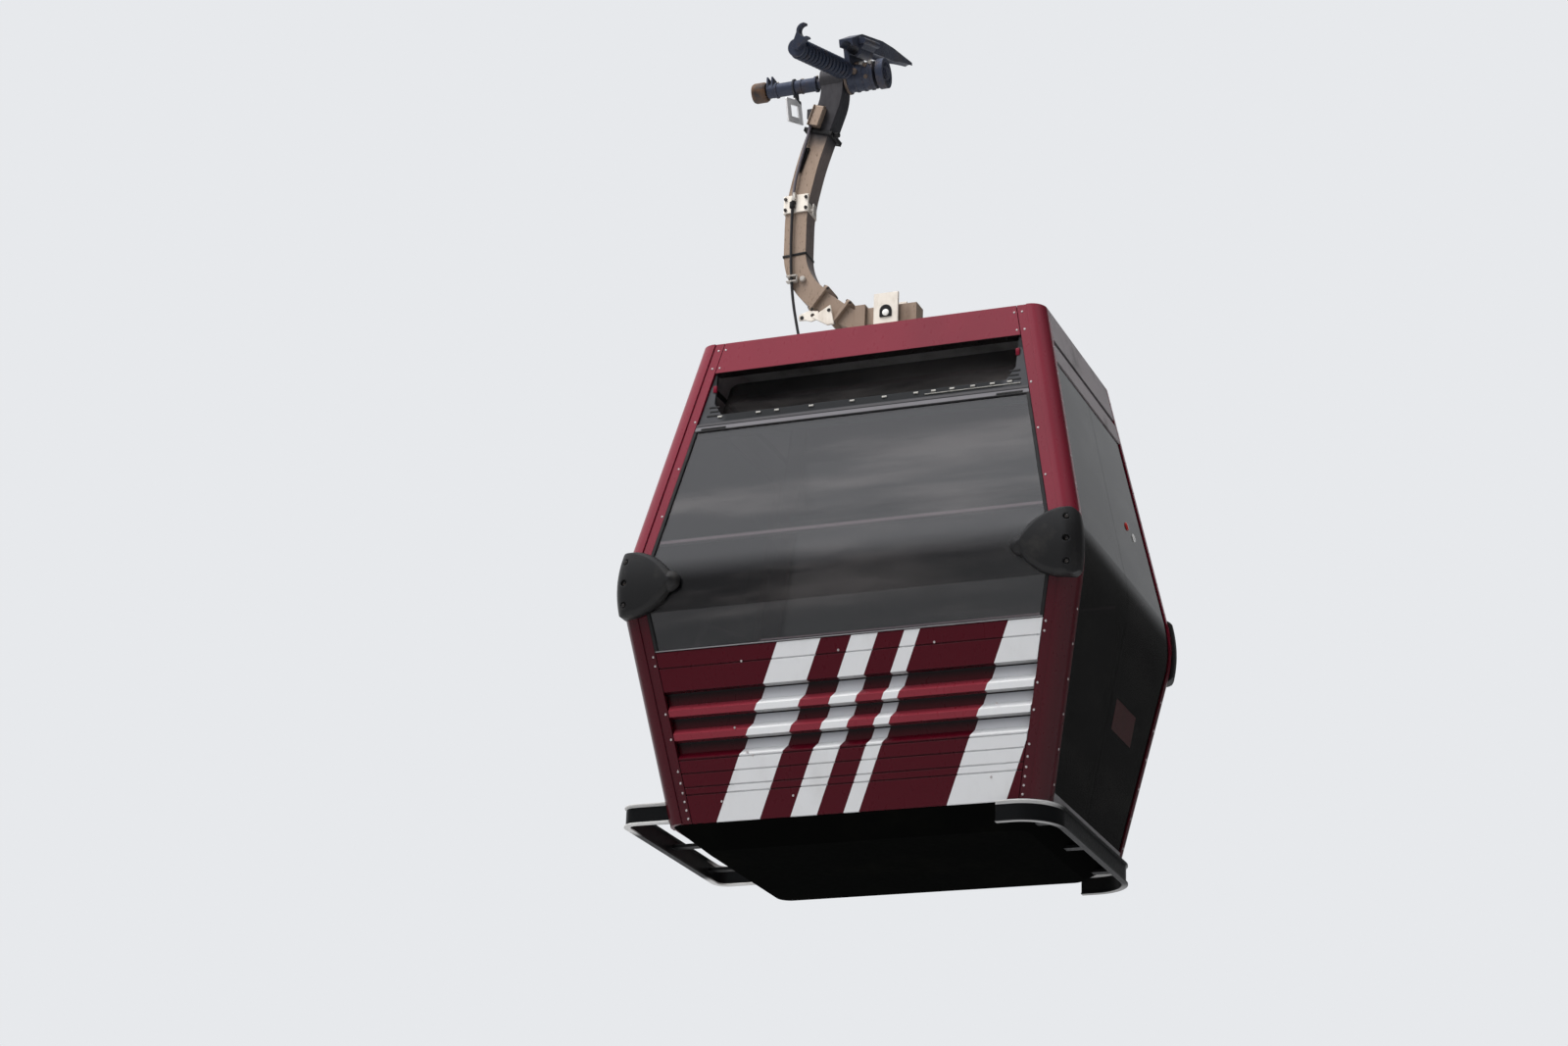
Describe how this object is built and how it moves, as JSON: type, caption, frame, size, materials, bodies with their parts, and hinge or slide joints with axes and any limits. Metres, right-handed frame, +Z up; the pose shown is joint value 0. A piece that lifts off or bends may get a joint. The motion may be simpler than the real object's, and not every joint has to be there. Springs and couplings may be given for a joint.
{
  "type": "cable car cabin with hanger and rope grip",
  "caption": "Crimson panoramic gondola cabin with tinted windows, waist bumpers and guide rails, on a bowed hanger and a spring rope grip.",
  "frame": {"origin": "centre of the rope in the grip's clamp", "axes": "+Z up, +X toward the lower end of the sloping rope and square to the end windows, +Y toward the doors"},
  "size_m": [1.652, 2.1542, 4.408],
  "materials": {
    "body_red": "gloss crimson paint",
    "grey_metal": "satin anodised",
    "tinted_glass": "dark tint",
    "black_rubber": "matte",
    "black_metal": "satin black paint",
    "hanger_steel": "weathered tan coating",
    "grip_steel": "weathered dark casting",
    "pale_plate": "off-white coating",
    "spring_steel": "dark coated steel",
    "brown_polymer": "weathered brown",
    "roof_white": "light grey paint",
    "bench_grey": "moulded dark grey",
    "steel_tube": "satin"
  },
  "bodies": {
    "grip": {"grip_body": "grip_steel", "grip_nose": "grip_steel", "axle": "grip_steel", "coupling_fins": "grip_steel", "spring_guide": "grip_steel", "grip_spring": "spring_steel", "target_plate": "pale_plate"},
    "grip_jaw": {"grip_jaw": "grip_steel"},
    "guide_roller": {"guide_roller": "brown_polymer"},
    "running_wheel": {"running_wheel": "black_metal"},
    "cabin": {"hanger_arm": "hanger_steel", "hanger_foot": "hanger_steel", "hanger_flanges": "hanger_steel", "arm_collar": "pale_plate", "hanger_hose": "black_rubber", "roof_gland": "black_rubber", "dampers": "black_rubber", "roof_frame": "pale_plate", "roof": "roof_white", "fascia_front": "body_red", "vent_frame_front": "grey_metal", "vent_pane_front": "tinted_glass", "end_window_front": "tinted_glass", "end_panel_front": "body_red", "guard_bar_front": "steel_tube", "bench_front": "bench_grey", "door_frame_front": "black_metal", "door_glass_front": "tinted_glass", "corner_post_front_door": "body_red", "bumper_front_door": "black_rubber", "corner_post_front_wall": "body_red", "bumper_front_wall": "black_rubber", "fascia_rear": "body_red", "vent_frame_rear": "grey_metal", "vent_pane_rear": "tinted_glass", "end_window_rear": "tinted_glass", "end_panel_rear": "body_red", "guard_bar_rear": "steel_tube", "bench_rear": "bench_grey", "door_frame_rear": "black_metal", "door_glass_rear": "tinted_glass", "corner_post_rear_door": "body_red", "bumper_rear_door": "black_rubber", "corner_post_rear_wall": "body_red", "bumper_rear_wall": "black_rubber", "header_door": "grey_metal", "guide_rail_door": "black_metal", "header_wall": "grey_metal", "guide_rail_wall": "black_metal", "door_sill": "grey_metal", "side_panel": "body_red", "side_window": "tinted_glass", "floor": "grey_metal", "underframe": "black_metal"}
  },
  "joints": [
    {"name": "hanger_swing", "type": "hinge", "parent": "grip", "child": "cabin", "pos_m": [0, 0, -0.142], "axis": [0, 1, 0], "range_deg": [-14, 56]},
    {"name": "jaw_opening", "type": "hinge", "parent": "grip", "child": "grip_jaw", "pos_m": [0.01218, 0.056, 0.03174], "axis": [0.9336, 0, -0.3584], "range_deg": [0, 20], "stiffness_Nm_per_rad": 40, "springref_deg": -11.46},
    {"name": "guide_roller_spin", "type": "hinge", "parent": "grip", "child": "guide_roller", "pos_m": [0, -0.513, -0.142], "axis": [0, 1, 0], "continuous": true},
    {"name": "running_wheel_spin", "type": "hinge", "parent": "grip", "child": "running_wheel", "pos_m": [0, 0.124, -0.142], "axis": [0, 1, 0], "continuous": true}
  ]
}
